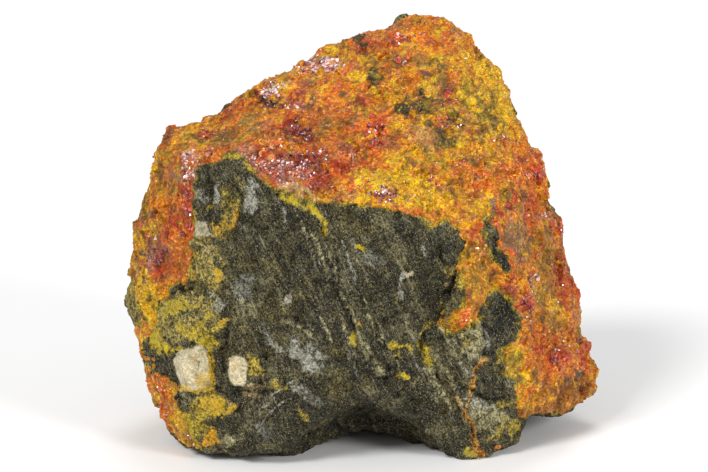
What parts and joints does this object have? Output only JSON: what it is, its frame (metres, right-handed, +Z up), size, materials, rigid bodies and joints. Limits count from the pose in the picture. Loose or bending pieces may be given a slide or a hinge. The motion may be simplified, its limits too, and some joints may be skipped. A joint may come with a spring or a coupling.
{
  "type": "orpiment specimen",
  "caption": "Hand-sized lump of dark foliated rock with a granular orange and red orpiment and realgar crust over its top and sides; it stands on its own worn feet.",
  "frame": {"origin": "middle of the specimen's box, at the level of the surface that it stands on", "axes": "+Z up, -Y out of the broken dark front, +X to the viewer's right of it"},
  "size_m": [0.0564, 0.0356, 0.0478],
  "materials": {
    "dark_rock": "rough broken rock, dark grey-olive, with light foliation streaks and cream clasts",
    "orpiment_crust": "granular orange and yellow orpiment with glossy deep red realgar crystals"
  },
  "bodies": {
    "root": {"dark_rock_matrix": "dark_rock", "orpiment_realgar_crust": "orpiment_crust"}
  },
  "joints": []
}
